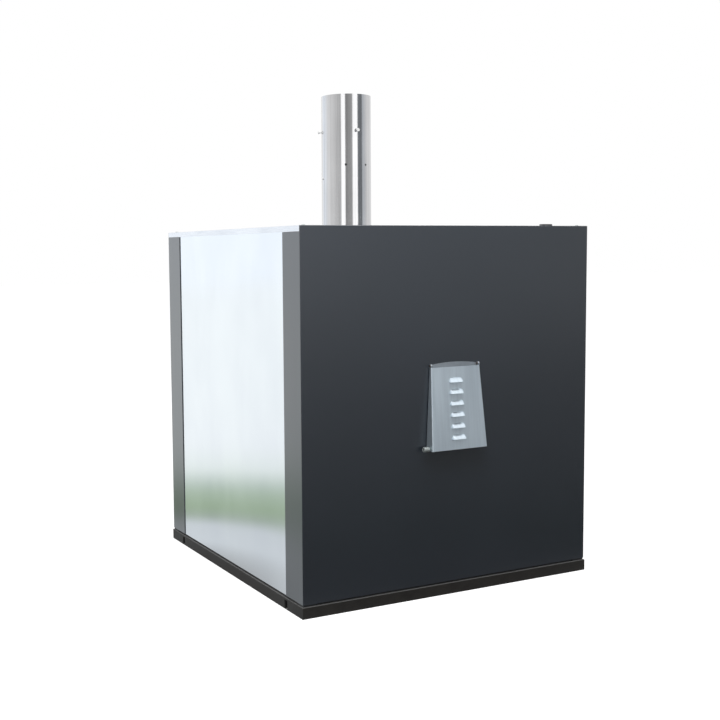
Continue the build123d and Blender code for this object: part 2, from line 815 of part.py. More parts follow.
# Hatch frame: a sheet duct with a slanted mouth, a hinge lug at each side and an
# arched hood that stands on the duct against the cassette's face
mouth_depth = (flap_sheet + mouth_gap) * flap_slant
duct_end = -core_y - rope
lug_front = flap_front(flap_top) + mouth_depth
lug_foot = duct_top - duct_sheet
hood_end = hinge_height + hood_shoulder
hood_crest = hood_end + hood_arch_rise
hood_half = duct_inside - rivet_head - hood_side_gap
with BuildPart() as hatch_frame:
    with BuildSketch(Plane.YZ.offset(-duct_half)):
        Polygon(
            (flap_front(duct_bottom) + mouth_depth, duct_bottom),
            (duct_end, duct_bottom),
            (duct_end, duct_top),
            (flap_front(duct_top) + mouth_depth, duct_top),
            align=None,
        )
        with Locations((hinge_y, hinge_height)):
            Circle(ear_radius)
        Polygon(
            (lug_front, hinge_height),
            (lug_front, lug_foot),
            (front_face, lug_foot),
            (front_face, hinge_height),
            align=None,
        )
    extrude(amount=2 * duct_half)
    with BuildSketch(Plane.XZ.offset(core_y)):
        with Locations((0, duct_middle)):
            Rectangle(2 * duct_inside, duct_top - duct_bottom - 2 * duct_sheet)
        with Locations((0, hinge_height)):
            Rectangle(2 * duct_inside, 2 * (hinge_height - duct_top))
    extrude(amount=board + cassette_sheet + flap_bottom_depth, mode=Mode.SUBTRACT)
    with BuildSketch(Plane.XZ.offset(half_d)):
        with BuildLine():
            Line((-hood_half, lug_foot), (hood_half, lug_foot))
            Line((hood_half, lug_foot), (hood_half, hood_end))
            ThreePointArc((hood_half, hood_end), (0, hood_crest), (-hood_half, hood_end))
            Line((-hood_half, hood_end), (-hood_half, lug_foot))
        make_face()
    extrude(amount=hood_sheet)
    with BuildSketch(Plane.YZ.offset(-duct_half)):
        with Locations((hinge_y, hinge_height)):
            Circle(rivet_radius)
    extrude(amount=2 * duct_half, mode=Mode.SUBTRACT)
hatch_frame.part.label = "hatch_frame"
export_step(hatch_frame.part, "parts/hatch_frame.step")

# Retainer: a flat ring that clamps the duct behind the front cassette
with BuildPart() as hatch_retainer:
    with BuildSketch(Plane.XZ.offset(inside_cassette)):
        with Locations((0, duct_middle)):
            Rectangle(2 * retainer_half, retainer_top - retainer_bottom)
            Rectangle(
                2 * (duct_half + retainer_clearance),
                duct_top - duct_bottom + 2 * retainer_clearance,
                mode=Mode.SUBTRACT,
            )
    extrude(amount=-retainer_sheet)
hatch_retainer.part.label = "hatch_retainer"
export_step(hatch_retainer.part, "parts/hatch_retainer.step")

# Rope seal between the duct's end and the block with the fire opening
with BuildPart() as hatch_rope:
    with BuildSketch(Plane.XZ.offset(core_y)):
        with Locations((0, duct_middle)):
            Rectangle(2 * rope_half, duct_top - duct_bottom - 2 * duct_sheet + 2 * rope_width)
            Rectangle(
                2 * duct_inside,
                duct_top - duct_bottom - 2 * duct_sheet,
                mode=Mode.SUBTRACT,
            )
    extrude(amount=rope)
hatch_rope.part.label = "hatch_rope"
export_step(hatch_rope.part, "parts/hatch_rope.step")

# Flap's shell: a wedge whose long edges are folded round, hollowed from behind
flange_rear = front_face - flange_gap


def wedge(inset, rear):
    """The wedge behind the flap's front and between its sides, drawn in by an inset."""
    with BuildPart() as slice_behind:
        with BuildSketch(Plane.YZ.offset(-flap_bottom_width)):
            Polygon(
                (flap_front(flap_top) + inset * flap_slant, flap_top),
                (flap_front(flap_bottom) + inset * flap_slant, flap_bottom),
                (rear, flap_bottom),
                (rear, flap_top),
                align=None,
            )
        extrude(amount=2 * flap_bottom_width)
        with BuildSketch(Plane.XZ):
            Polygon(
                (inset - flap_half(flap_bottom), flap_bottom),
                (flap_half(flap_bottom) - inset, flap_bottom),
                (flap_half(flap_top) - inset, flap_top),
                (inset - flap_half(flap_top), flap_top),
                align=None,
            )
        extrude(amount=body_depth, mode=Mode.INTERSECT)
    return slice_behind.part


with BuildPart() as flap_shell:
    add(wedge(0.0, flange_rear))
    front = flap_shell.faces().sort_by(Axis.Y)[0]
    fillet(front.edges().filter_by(Axis.X, reverse=True), radius=flap_fold)
    add(wedge(flap_sheet, front_face), mode=Mode.SUBTRACT)

# Flap's ears: a round one on top of each flange, with its root inside the flange
ear_top = hinge_height + ear_radius
with BuildPart() as flap_ears:
    with BuildSketch(Plane.YZ.offset(-flap_bottom_width)):
        with Locations((hinge_y, hinge_height)):
            Circle(ear_radius)
        Polygon(
            (hinge_y - ear_radius, hinge_height),
            (hinge_y - ear_radius, flap_top),
            (hinge_y + ear_radius, flap_top),
            (hinge_y + ear_radius, hinge_height),
            align=None,
        )
        Polygon(
            (hinge_y - ear_radius / 2, flap_top),
            (hinge_y - ear_radius / 2, flap_top - ear_radius),
            (flange_rear, flap_top - ear_radius),
            (flange_rear, flap_top),
            align=None,
        )
    extrude(amount=2 * flap_bottom_width)
    with BuildSketch(Plane.XZ):
        for side_x in (-1, 1):
            Polygon(
                (side_x * flap_half(flap_bottom), flap_bottom),
                (side_x * (flap_half(flap_bottom) - flap_sheet), flap_bottom),
                (side_x * (flap_half(ear_top) - flap_sheet), ear_top),
                (side_x * flap_half(ear_top), ear_top),
                align=None,
            )
    extrude(amount=body_depth, mode=Mode.INTERSECT)

# One louvre: a shallow dome revolved about a line behind the plate and below the
# sill, so that its face tilts upwards, and cut open along the sill
louvre_sill = flap_top - louvre_drop - louvre_height / 2
dome_top = louvre_height + louvre_tilt_drop
dome_depth = (dome_top**2 - louvre_tilt_drop**2 - louvre_proud**2) / (2 * louvre_proud)
dome_radius = sqrt(dome_depth**2 + dome_top**2)
dome_shoulder = dome_radius - sqrt(dome_depth**2 + louvre_tilt_drop**2)
plate_up = Vector(0, flap_lean, 1).normalized()
plate_out = Vector(0, -1, flap_lean).normalized()
sill_point = Vector(louvre_offset, flap_front(louvre_sill), louvre_sill)
dome_centre = sill_point - plate_out * dome_depth - plate_up * louvre_tilt_drop


def louvre_dome(inset):
    """The louvre's dome, shrunk by an inset."""
    with BuildPart() as dome:
        with BuildSketch(Plane(origin=dome_centre, x_dir=(1, 0, 0), z_dir=-plate_up)) as profile:
            with Locations((0, (dome_radius - inset) / 2)):
                Rectangle(louvre_width - 2 * inset, dome_radius - inset)
            crest_corners = profile.vertices().group_by(Axis.Y)[-1]
            fillet(crest_corners, radius=dome_shoulder - inset / 2)
        revolve(axis=Axis(dome_centre, (1, 0, 0)), revolution_arc=-90)
        back = sill_point - plate_out * flap_sheet
        split(bisect_by=Plane(origin=back, x_dir=(1, 0, 0), z_dir=plate_out), keep=Keep.TOP)
        split(bisect_by=Plane(origin=sill_point, x_dir=(1, 0, 0), z_dir=plate_up), keep=Keep.TOP)
    return dome.part


# Hatch flap: plate, flanges and louvres
louvre_steps = [
    (0, -n * louvre_pitch * flap_lean, -n * louvre_pitch) for n in range(louvre_count)
]
with BuildPart() as hatch_flap:
    add(flap_shell.part)
    add(flap_ears.part)
    with Locations(*louvre_steps):
        add(louvre_dome(0.0))
    with Locations(*louvre_steps):
        add(louvre_dome(louvre_sheet), mode=Mode.SUBTRACT)
    for side_x in (-1, 1):
        with BuildSketch(Plane.YZ.offset(side_x * duct_half)):
            with Locations((hinge_y, hinge_height)):
                Circle(rivet_radius + rivet_clearance)
        extrude(amount=side_x * flap_bottom_width, mode=Mode.SUBTRACT)
    with BuildSketch(Plane.YZ.offset(-flap_bottom_width)):
        with Locations((front_face - lift_depth, lift_height)):
            Circle(lift_bolt_radius)
    extrude(amount=flap_bottom_width, mode=Mode.SUBTRACT)
hatch_flap.part.label = "hatch_flap"
export_step(hatch_flap.part, "parts/hatch_flap.step")

# Hinge rivets: one at each ear, through the flange and the lug
ear_outside = flap_half(hinge_height)
with BuildPart() as hatch_rivets:
    for side_x in (-1, 1):
        outside = Plane.YZ.offset(side_x * (ear_outside + lug_gap))
        inside = Plane.YZ.offset(side_x * duct_inside)
        with BuildSketch(outside):
            with Locations((hinge_y, hinge_height)):
                Circle(rivet_head_radius)
        extrude(amount=side_x * rivet_head)
        with BuildSketch(inside):
            with Locations((hinge_y, hinge_height)):
                Circle(rivet_head_radius)
        extrude(amount=-side_x * rivet_head)
        with BuildSketch(inside):
            with Locations((hinge_y, hinge_height)):
                Circle(rivet_radius)
        extrude(amount=side_x * (ear_outside + lug_gap - duct_inside))
hatch_rivets.part.label = "hatch_rivets"
export_step(hatch_rivets.part, "parts/hatch_rivets.step")

# Heat shield behind the louvres, and the spacers that carry it
shield_offset = (flap_sheet + shield_spacing) * flap_slant
shield_half = shield_width / 2
shield_top = flap_top - shield_top_inset
shield_bottom = flap_bottom + shield_bottom_inset
with BuildPart() as hatch_shield:
    with BuildSketch(Plane.YZ.offset(-shield_half)):
        Polygon(
            (flap_front(shield_top) + shield_offset, shield_top),
            (flap_front(shield_bottom) + shield_offset, shield_bottom),
            (flap_front(shield_bottom) + shield_offset + shield_sheet, shield_bottom),
            (flap_front(shield_top) + shield_offset + shield_sheet, shield_top),
            align=None,
        )
    extrude(amount=shield_width)
hatch_shield.part.label = "hatch_shield"
export_step(hatch_shield.part, "parts/hatch_shield.step")

with BuildPart() as shield_spacers:
    for height in (shield_top - spacer_inset, shield_bottom + spacer_inset):
        point = (0, flap_front(height), height)
        with BuildSketch(
            Plane(origin=point, x_dir=(1, 0, 0), z_dir=-plate_out).offset(flap_sheet)
        ):
            with Locations((spacer_inset - shield_half, 0), (shield_half - spacer_inset, 0)):
                Circle(spacer_radius)
        extrude(amount=shield_spacing)
shield_spacers.part.label = "shield_spacers"
export_step(shield_spacers.part, "parts/shield_spacers.step")

# Lift bolt: its round head closes the end of a sleeve that stands off the flap's
# left flange on a narrower neck
flange_outside = flap_half(lift_height)
neck_end = -flange_outside - lift_neck_radius * flap_splay - lift_sleeve_clearance
sleeve_start = neck_end - lift_neck
sleeve_end = sleeve_start - lift_sleeve_length
nut_start = flap_sheet + flap_splay * lift_nut_width / 2 - flange_outside + lift_sleeve_clearance
lift_spot = (front_face - lift_depth, lift_height)
with BuildPart() as lift_bolt:
    with BuildSketch(Plane.YZ.offset(sleeve_end)):
        with Locations(lift_spot):
            Circle(lift_sleeve_radius)
    extrude(amount=-lift_head)
    fillet(lift_bolt.edges().group_by(Axis.X)[0], radius=lift_head_round)
    with BuildSketch(Plane.YZ.offset(sleeve_end - lift_head)):
        with Locations(lift_spot):
            RegularPolygon(lift_socket_width / 2, 6, major_radius=False)
    extrude(amount=lift_socket_depth, mode=Mode.SUBTRACT)
    with BuildSketch(Plane.YZ.offset(sleeve_end)):
        with Locations(lift_spot):
            Circle(lift_bolt_radius)
    extrude(amount=nut_start + lift_nut + thread_spare - sleeve_end)
lift_bolt.part.label = "lift_bolt"
export_step(lift_bolt.part, "parts/lift_bolt.step")

with BuildPart() as lift_sleeve:
    with BuildSketch(Plane.YZ.offset(sleeve_start)):
        with Locations(lift_spot):
            Circle(lift_sleeve_radius)
    extrude(amount=-lift_sleeve_length)
    with BuildSketch(Plane.YZ.offset(sleeve_start)):
        with Locations(lift_spot):
            Circle(lift_neck_radius)
    extrude(amount=lift_neck)
    with BuildSketch(Plane.YZ.offset(sleeve_end)):
        with Locations(lift_spot):
            Circle(lift_bolt_radius + lift_sleeve_clearance)
    extrude(amount=lift_sleeve_length + lift_neck, mode=Mode.SUBTRACT)
lift_sleeve.part.label = "lift_sleeve"
export_step(lift_sleeve.part, "parts/lift_sleeve.step")

with BuildPart() as lift_nut_piece:
    with BuildSketch(Plane.YZ.offset(nut_start)):
        with Locations(lift_spot):
            RegularPolygon(lift_nut_width / 2, 6, major_radius=False, rotation=30)
            Circle(lift_bolt_radius, mode=Mode.SUBTRACT)
    extrude(amount=lift_nut)
lift_nut_piece.part.label = "lift_nut"
export_step(lift_nut_piece.part, "parts/lift_nut.step")

# Clean-out frame: a square sleeve through the rear, its flange and one knuckle
flange_half = sleeve_half + cleanout_border
flange_face = half_d + cleanout_flange
door_back = flange_face + cleanout_rope + cleanout_door_gap
cleanout_hinge_x = flange_half + cleanout_hinge_offset
cleanout_hinge_y = door_back + cleanout_door / 2
low_knuckle = cleanout_centre - knuckle_length
with BuildPart() as cleanout_frame:
    with BuildSketch(Plane.XZ.offset(-chamber_y)):
        with Locations((0, cleanout_centre)):
            Rectangle(2 * sleeve_half, 2 * sleeve_half)
            Rectangle(cleanout_width, cleanout_width, mode=Mode.SUBTRACT)
    extrude(amount=chamber_y - flange_face)
    with BuildSketch(Plane.XZ.offset(-half_d)):
        with Locations((0, cleanout_centre)):
            Rectangle(2 * flange_half, 2 * flange_half)
            Rectangle(cleanout_width, cleanout_width, mode=Mode.SUBTRACT)
    extrude(amount=-cleanout_flange)
    with BuildSketch(Plane.XY.offset(low_knuckle)):
        with Locations((cleanout_hinge_x, cleanout_hinge_y)):
            Circle(knuckle_radius)
        Polygon(
            (flange_half, half_d),
            (cleanout_hinge_x, cleanout_hinge_y - knuckle_radius),
            (cleanout_hinge_x, cleanout_hinge_y),
            (flange_half, flange_face),
            align=None,
        )
    extrude(amount=2 * knuckle_length)
    with BuildSketch(Plane.XY.offset(low_knuckle)):
        with Locations((cleanout_hinge_x, cleanout_hinge_y)):
            Circle(hinge_pin_radius + hinge_pin_clearance)
    extrude(amount=2 * knuckle_length, mode=Mode.SUBTRACT)
cleanout_frame.part.label = "cleanout_frame"
export_step(cleanout_frame.part, "parts/cleanout_frame.step")

# Rope seal on the clean-out frame's flange
with BuildPart() as cleanout_rope_seal:
    with BuildSketch(Plane.XZ.offset(-flange_face)):
        with Locations((0, cleanout_centre)):
            Rectangle(
                cleanout_width + 2 * cleanout_rope_width,
                cleanout_width + 2 * cleanout_rope_width,
            )
            Rectangle(cleanout_width, cleanout_width, mode=Mode.SUBTRACT)
    extrude(amount=-cleanout_rope)
cleanout_rope_seal.part.label = "cleanout_rope"
export_step(cleanout_rope_seal.part, "parts/cleanout_rope.step")

# Clean-out door: a plate with a knuckle above and below the frame's
door_half = cleanout_width / 2 + cleanout_door_overlap
knuckle_starts = (
    cleanout_centre + knuckle_length + knuckle_gap,
    cleanout_centre - 2 * knuckle_length - knuckle_gap,
)
with BuildPart() as cleanout_door_leaf:
    with BuildSketch(Plane.XZ.offset(-door_back)):
        with Locations((0, cleanout_centre)):
            RectangleRounded(2 * door_half, 2 * door_half, cleanout_door)
    extrude(amount=-cleanout_door)
    for start in knuckle_starts:
        with BuildSketch(Plane.XY.offset(start)):
            with Locations((cleanout_hinge_x, cleanout_hinge_y)):
                Circle(knuckle_radius)
            Polygon(
                (door_half - cleanout_door, door_back),
                (cleanout_hinge_x, door_back),
                (cleanout_hinge_x, door_back + cleanout_door),
                (door_half - cleanout_door, door_back + cleanout_door),
                align=None,
            )
        extrude(amount=knuckle_length)
        with BuildSketch(Plane.XY.offset(start)):
            with Locations((cleanout_hinge_x, cleanout_hinge_y)):
                Circle(hinge_pin_radius + hinge_pin_clearance)
        extrude(amount=knuckle_length, mode=Mode.SUBTRACT)
cleanout_door_leaf.part.label = "cleanout_door"
export_step(cleanout_door_leaf.part, "parts/cleanout_door.step")

# Hinge pin of the clean-out door, with a head on top
pin_bottom = cleanout_centre - 2 * knuckle_length - 2 * knuckle_gap
pin_top = cleanout_centre + 2 * knuckle_length + 2 * knuckle_gap
with BuildPart() as cleanout_pin:
    with BuildSketch(Plane.XY.offset(pin_bottom)):
        with Locations((cleanout_hinge_x, cleanout_hinge_y)):
            Circle(hinge_pin_radius)
    extrude(amount=pin_top - pin_bottom)
    with BuildSketch(Plane.XY.offset(pin_top)):
        with Locations((cleanout_hinge_x, cleanout_hinge_y)):
            Circle(hinge_pin_head_radius)
    extrude(amount=hinge_pin_head)
cleanout_pin.part.label = "cleanout_pin"
export_step(cleanout_pin.part, "parts/cleanout_pin.step")

# Knob of the clean-out door
knob_x = knob_inset - door_half
knob_base = door_back + cleanout_door
knob_tip = knob_base + knob_length
knob_neck = knob_tip - knob_radius - sqrt(knob_radius**2 - knob_stem_radius**2)
with BuildPart() as cleanout_knob:
    with BuildSketch(Plane.XY.offset(cleanout_centre)):
        with BuildLine():
            Line((knob_x, knob_tip), (knob_x, knob_base))
            Line((knob_x, knob_base), (knob_x + knob_stem_radius, knob_base))
            Line((knob_x + knob_stem_radius, knob_base), (knob_x + knob_stem_radius, knob_neck))
            ThreePointArc(
                (knob_x + knob_stem_radius, knob_neck),
                (knob_x + knob_radius, knob_tip - knob_radius),
                (knob_x, knob_tip),
            )
        make_face()
    revolve(axis=Axis((knob_x, knob_base, cleanout_centre), (0, 1, 0)))
cleanout_knob.part.label = "cleanout_knob"
export_step(cleanout_knob.part, "parts/cleanout_knob.step")
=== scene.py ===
# %% [markdown]
# # A masonry heater in a sheet-steel jacket
#
# The real object is a stack of firebricks inside a steel box, fired through a
# small louvred hatch in its front. CAD made every piece at its real size. This
# lesson loads those pieces as a fixed frame and gives each one its finish:
# powder-coated sheet, bright stainless, rolled steel, firebrick and board. The
# few things that CAD leaves plain, such as braided rope, are modelled here.
#
# We start with the frame.

from math import cos, pi, radians, sin

import bmesh
import bpy
from mathutils import Matrix, Vector


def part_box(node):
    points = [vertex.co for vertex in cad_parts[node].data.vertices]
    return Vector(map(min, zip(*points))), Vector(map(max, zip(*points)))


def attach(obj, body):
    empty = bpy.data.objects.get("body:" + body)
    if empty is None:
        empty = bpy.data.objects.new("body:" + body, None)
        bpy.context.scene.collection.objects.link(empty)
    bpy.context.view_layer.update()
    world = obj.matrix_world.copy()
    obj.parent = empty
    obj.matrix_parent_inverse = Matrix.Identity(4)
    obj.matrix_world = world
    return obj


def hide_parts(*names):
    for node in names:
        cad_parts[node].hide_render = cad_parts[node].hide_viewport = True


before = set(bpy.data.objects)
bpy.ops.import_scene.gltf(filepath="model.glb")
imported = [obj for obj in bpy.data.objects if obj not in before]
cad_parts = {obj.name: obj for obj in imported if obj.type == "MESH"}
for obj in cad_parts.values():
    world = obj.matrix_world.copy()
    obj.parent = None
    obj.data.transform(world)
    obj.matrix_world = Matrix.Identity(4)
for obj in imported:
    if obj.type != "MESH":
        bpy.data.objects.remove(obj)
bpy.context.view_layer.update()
print("pieces from CAD:", len(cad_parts))

# %% [markdown]
# ## The camera
#
# A camera can be placed by eye, but the edges of a box give it away exactly.
# Here the place, the heading and the lens were fitted to the corners of the
# jacket, so the box's edges land where they do in the photograph. The pose is
# built from a heading, a dip below the horizon and a slight roll. The shift
# moves the frame a little without turning the camera, as a crop does.

# %% Place the camera
EYE = Vector((-1.6682, -2.8162, 0.9078))
HEADING, DIP, ROLL = radians(26.891), radians(4.797), radians(-0.568)
LENS, SENSOR = 54.92, 36.0
FRAME_SHIFT = (0.0917, -0.0206)

forward = Vector((sin(HEADING) * cos(DIP), cos(HEADING) * cos(DIP), -sin(DIP)))
level_right = Vector((cos(HEADING), -sin(HEADING), 0.0))
level_up = level_right.cross(forward)
right = level_right * cos(ROLL) + level_up * sin(ROLL)
up = level_up * cos(ROLL) - level_right * sin(ROLL)

scene = bpy.context.scene
camera = bpy.data.objects.new("camera", bpy.data.cameras.new("camera"))
camera.data.lens = LENS
camera.data.sensor_width = SENSOR
camera.data.shift_x, camera.data.shift_y = FRAME_SHIFT
camera.matrix_world = Matrix((right, up, -forward)).transposed().to_4x4()
camera.location = EYE
scene.collection.objects.link(camera)
scene.camera = camera
print("camera at", tuple(round(v, 3) for v in EYE), "lens", LENS, "mm")

# %% [markdown]
# ## Helpers for shader nodes
#
# The studio and every finish are small networks of shader nodes. Blender takes
# one line to make a node, one for each of its settings and one for each wire.
# These helpers take a socket or a plain value wherever a node has an input, and
# hand back the socket that the result comes out of. A network then reads like
# a sum, and each of its steps is one line.

# %% Helpers for shader nodes
def grey(level):
    """A grey as a colour socket holds it."""
    return (level, level, level, 1.0)


def add_node(tree, kind, **settings):
    """A new shader node with some of its settings made."""
    node = tree.nodes.new("ShaderNode" + kind)
    for label, value in settings.items():
        setattr(node, label, value)
    return node


def feed(tree, value, target):
    """Wires a socket into an input, or sets the input to a plain value."""
    if isinstance(value, bpy.types.NodeSocket):
        tree.links.new(value, target)
    else:
        target.default_value = value


def feed_all(tree, values, targets):
    """Feeds several inputs in order."""
    for value, target in zip(values, targets):
        feed(tree, value, target)


def maths(tree, operation, *values, clamp=False):
    """One step of arithmetic. Like the helpers below, it returns what comes out of the node."""
    node = add_node(tree, "Math", operation=operation, use_clamp=clamp)
    feed_all(tree, values, node.inputs)
    return node.outputs[0]


def mapped(tree, value, start, end, low=0.0, high=1.0):
    """Goes from low to high while a value goes from start to end, and no further."""
    node = add_node(tree, "MapRange")
    inputs = [node.inputs[name] for name in ("Value", "From Min", "From Max", "To Min", "To Max")]
    feed_all(tree, (value, start, end, low, high), inputs)
    return node.outputs["Result"]


def mixed(tree, share, first, second):
    """A mix of two colours, with a share of the second. Its colour sockets go by number."""
    node = add_node(tree, "Mix", data_type="RGBA")
    feed_all(tree, (share, first, second), (node.inputs["Factor"], node.inputs[6], node.inputs[7]))
    return node.outputs[2]


def ramp(tree, value, stops, reach):
    """The colour at a value on a ramp of (place, colour) stops, their places divided by a reach."""
    node = add_node(tree, "ValToRGB")
    elements = node.color_ramp.elements
    for number, (place, colour) in enumerate(stops):
        stop = elements[number] if number < 2 else elements.new(place / reach)
        stop.position = place / reach
        stop.color = (*colour, 1.0)
    feed(tree, value, node.inputs["Fac"])
    return node.outputs["Color"]


def parts_of(tree, place):
    """The X, Y and Z of a place, as three output sockets."""
    node = add_node(tree, "SeparateXYZ")
    feed(tree, place, node.inputs[0])
    return node.outputs


print("shader helpers ready")

# %% [markdown]
# ## The studio
#
# The heater stands on a plain floor in front of white. A studio often has a
# backdrop that curves up behind the object. Here the floor is one flat face, so
# large that it reaches nearly to the horizon, and its material keeps the line
# between the floor and the white from showing.

# %% Lay the floor
FLOOR_HALF = 30.0

floor_mesh = bmesh.new()
bmesh.ops.create_grid(floor_mesh, x_segments=1, y_segments=1, size=FLOOR_HALF)
floor = bpy.data.objects.new("studio_floor", bpy.data.meshes.new("studio_floor"))
floor_mesh.to_mesh(floor.data)
floor_mesh.free()
scene.collection.objects.link(floor)
print("floor half-width", FLOOR_HALF, "m")

# %% [markdown]
# The floor glows for the camera, so it looks as white as what lies behind it
# and still keeps the heater's soft shadow. Under the base it stays dark, so that
# no light shows through the notches in the rails.
#
# Bright sheet shows what lies round the heater, so reflections see another floor, as if outdoors: a
# painted shadow close round the heater's foot, pale stone beyond it, a strip of grass, then open
# ground as bright as the sky. In front of the heater that ground lies in shade, and is light again
# only far off.

# %% Light the ground
FLOOR_COLOUR = grey(0.45)
FLOOR_ROUGHNESS, FLOOR_SHINE = 0.9, 0.1
CAMERA_GLOW = 0.86
GROUND_REACH = 4.0
# The first two rings, darker, are a painted shadow round the heater's foot.
GROUND_COLOURS = (
    (0.0, (0.3, 0.3, 0.3)), (0.5, (0.44, 0.46, 0.47)), (0.64, (0.64, 0.68, 0.71)),
    (0.82, (0.62, 0.66, 0.69)), (0.94, (0.36, 0.43, 0.36)), (1.06, (0.33, 0.43, 0.3)),
    (1.3, (0.41, 0.51, 0.4)), (1.42, (0.48, 0.57, 0.5)), (1.75, (0.84, 0.9, 0.88)),
    (2.3, (0.92, 0.96, 0.98)), (4.0, (0.94, 0.985, 1.0)),
)
SHADE_START, SHADE_END = -0.35, -0.55
SHADE, OPEN_GROUND = 0.1, 1.06
FAR_START, FAR_END = 14.0, 26.0
FAR_LIGHT = 2.2
rail_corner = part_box("base_rail_front")[1]

ground = bpy.data.materials.new("studio_ground")
ground.use_nodes = True
tree = ground.node_tree
rays = add_node(tree, "LightPath").outputs
spot = add_node(tree, "TexCoord").outputs["Object"]
spot_xyz = parts_of(tree, spot)
middle = add_node(tree, "VectorMath", operation="LENGTH")
feed(tree, spot, middle.inputs[0])
distance = middle.outputs["Value"]
rings = ramp(tree, maths(tree, "DIVIDE", distance, GROUND_REACH), GROUND_COLOURS, GROUND_REACH)

shade = mapped(tree, spot_xyz["Y"], SHADE_END, SHADE_START, SHADE, OPEN_GROUND)
in_shade = maths(tree, "SUBTRACT", 1.0, shade, clamp=True)
far = mapped(tree, distance, FAR_START, FAR_END, 0.0, FAR_LIGHT)
mirrored_light = maths(tree, "MULTIPLY_ADD", far, in_shade, shade)

off_x, off_y = (maths(tree, "ABSOLUTE", spot_xyz[axis]) for axis in "XY")
outside = maths(tree, "GREATER_THAN", maths(tree, "MAXIMUM", off_x, off_y), rail_corner.x)
camera_light = maths(tree, "MULTIPLY", outside, CAMERA_GLOW)

mirrored_share = maths(tree, "MULTIPLY", rays["Is Glossy Ray"], mirrored_light)
camera_share = maths(tree, "MULTIPLY", rays["Is Camera Ray"], camera_light)
ground_values = {
    "Base Color": mixed(tree, rays["Is Glossy Ray"], FLOOR_COLOUR, grey(0.0)),
    "Roughness": FLOOR_ROUGHNESS,
    "Specular IOR Level": FLOOR_SHINE,
    "Emission Color": mixed(tree, rays["Is Camera Ray"], rings, grey(1.0)),
    "Emission Strength": maths(tree, "ADD", mirrored_share, camera_share),
}
for label, value in ground_values.items():
    feed(tree, value, tree.nodes["Principled BSDF"].inputs[label])
floor.data.materials.append(ground)
print("ground rings:", len(GROUND_COLOURS))

# %% [markdown]
# A plain white room makes a bright pipe look like paper, so a studio stands
# dark cards beside the lights. Here the world itself holds them. Reflections
# see a ring of light and dark bands that follow the compass direction, under a
# bright sky. The camera sees plain white, and all other rays see one even grey
# that fills the shadows. Each stop of the bands has a bearing in degrees, which
# counts from the heater's right towards its rear, a light and a tint.

# %% Hang the world
FILL = 0.35
BAND_PEAK = 1.6
PLAIN, BLUE = (1.0, 1.0, 1.0), (0.92, 0.975, 1.04)
BANDS = (
    (-180.0, 0.79, PLAIN), (-147.0, 0.6, PLAIN), (-143.5, 0.6, PLAIN), (-142.0, 1.5, PLAIN),
    (-124.5, 1.5, PLAIN), (-123.0, 0.3, PLAIN), (-90.5, 0.46, PLAIN), (-89.0, 1.5, PLAIN),
    (-66.0, 1.5, PLAIN), (-64.5, 0.26, BLUE), (-41.5, 0.2, BLUE), (-40.0, 0.58, BLUE),
    (-10.0, 0.82, PLAIN), (60.0, 0.96, PLAIN), (96.0, 1.06, PLAIN), (108.0, 1.17, BLUE),
    (122.0, 1.12, BLUE), (148.0, 0.94, PLAIN), (180.0, 0.79, PLAIN),
)
HALF_TURN = 180.0
SKY = 1.36
SKY_START, SKY_FULL = 0.15, 0.55


def glow(tree, colour, strength=1.0):
    """Light that comes from the world."""
    node = add_node(tree, "Background")
    feed_all(tree, (colour, strength), (node.inputs["Color"], node.inputs["Strength"]))
    return node.outputs[0]


def either(tree, share, first, second):
    """One light, or another where the share is 1."""
    node = add_node(tree, "MixShader")
    feed_all(tree, (share, first, second), node.inputs)
    return node.outputs[0]


scene.view_settings.view_transform = "Standard"
world = bpy.data.worlds.new("studio")
scene.world = world
world.use_nodes = True
room = world.node_tree
room.nodes.clear()
rays = add_node(room, "LightPath").outputs
towards = parts_of(room, add_node(room, "TexCoord").outputs["Generated"])
bearing = mapped(room, maths(room, "ARCTAN2", towards["Y"], towards["X"]), -pi, pi)
band_colours = [
    (place + HALF_TURN, [light * part / BAND_PEAK for part in tint])
    for place, light, tint in BANDS
]
bands = ramp(room, bearing, band_colours, 2.0 * HALF_TURN)
rise = mapped(room, towards["Z"], SKY_START, SKY_FULL)
mirrored = glow(room, mixed(room, rise, bands, grey(SKY / BAND_PEAK)), BAND_PEAK)
filled_or_mirrored = either(room, rays["Is Glossy Ray"], glow(room, grey(FILL)), mirrored)
shows_white = maths(room, "MAXIMUM", rays["Is Camera Ray"], rays["Is Transmission Ray"])
surroundings = either(room, shows_white, filled_or_mirrored, glow(room, grey(1.0)))
feed(room, surroundings, add_node(room, "OutputWorld").inputs["Surface"])
print("world bands:", len(BANDS))

# %% [markdown]
# Three soft lamps do the rest. A small one hangs close above the front, so the
# front is lighter at the top than at the foot, as it is in the photograph. A
# large one stands on the left and lights the side, and another stands behind,
# for views from there. They are hidden from reflections, because the world's
# bands already stand for them there, and from the camera. Each has a place, a
# point that it faces, a width in metres and a power in watts.

# %% Hang the lamps
LAMPS = (
    ("lamp_high_front", (-0.4, -1.05, 1.8), (-0.05, -0.45, 0.85), 0.7, 18.0),
    ("lamp_left", (-3.4, -0.8, 1.9), (-0.3, 0.0, 0.6), 2.6, 40.0),
    ("lamp_behind", (1.8, 3.0, 2.6), (0.0, 0.2, 0.7), 2.6, 45.0),
)
for name, place, aim, size, watts in LAMPS:
    lamp = bpy.data.objects.new(name, bpy.data.lights.new(name, "AREA"))
    lamp.data.size = size
    lamp.data.energy = watts
    lamp.location = place
    lamp.rotation_euler = (Vector(aim) - Vector(place)).to_track_quat("-Z", "Y").to_euler()
    lamp.visible_glossy = False
    lamp.visible_camera = False
    scene.collection.objects.link(lamp)
print("lamps:", len(LAMPS))

